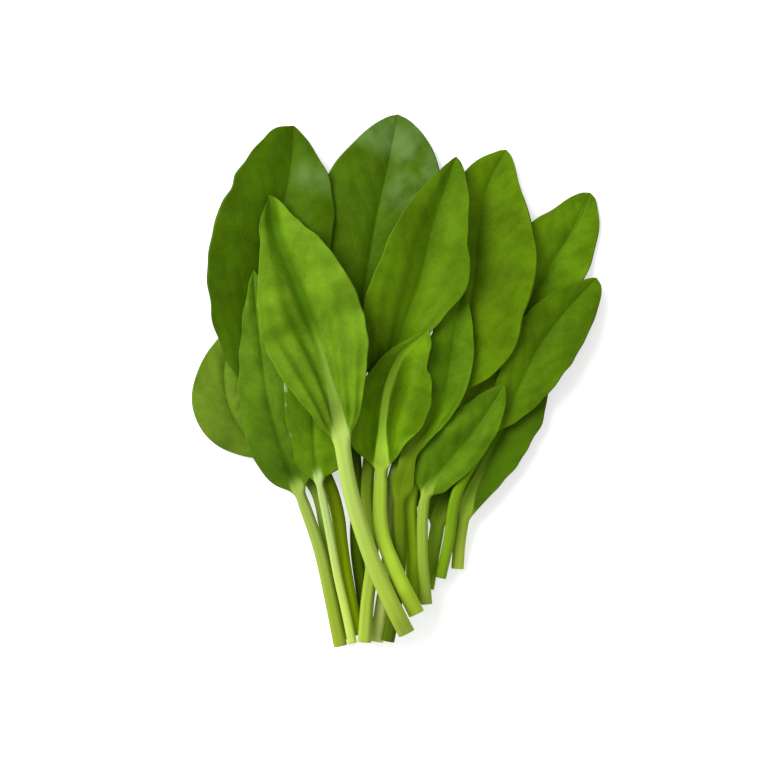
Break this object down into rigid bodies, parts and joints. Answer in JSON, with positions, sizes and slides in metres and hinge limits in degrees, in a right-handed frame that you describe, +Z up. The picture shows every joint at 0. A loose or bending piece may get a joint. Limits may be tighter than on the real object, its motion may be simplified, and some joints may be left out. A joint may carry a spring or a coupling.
{
  "type": "swiss chard bunch",
  "caption": "Bunch of young swiss chard lying flat: smooth pointed green blades folded along their midribs, fanned out from slim pale stalks.",
  "frame": {"origin": "middle of the bunch's outline in plan, at the surface it lies on", "axes": "+Y from the cut ends of the stalks to the blade tips, +Z up from the surface, +X to the right seen from above with the stalks towards the viewer"},
  "size_m": [0.2184, 0.2848, 0.032],
  "materials": {
    "leaf_pale": "satin",
    "leaf_fresh": "satin",
    "leaf_deep": "satin",
    "leaf_dusty": "matte"
  },
  "bodies": {
    "root": {"leaf_right_lowest": "leaf_deep", "leaf_right_lower": "leaf_deep", "leaf_right_upper": "leaf_fresh", "leaf_right_side": "leaf_fresh", "leaf_left_side": "leaf_pale", "leaf_back_middle": "leaf_fresh", "leaf_back_left": "leaf_deep", "leaf_low_right": "leaf_fresh", "leaf_back_right": "leaf_fresh", "leaf_low_middle": "leaf_fresh", "leaf_left": "leaf_dusty", "leaf_left_inner": "leaf_fresh", "leaf_centre": "leaf_fresh", "leaf_front_middle": "leaf_pale", "leaf_front_left": "leaf_pale"}
  },
  "joints": []
}
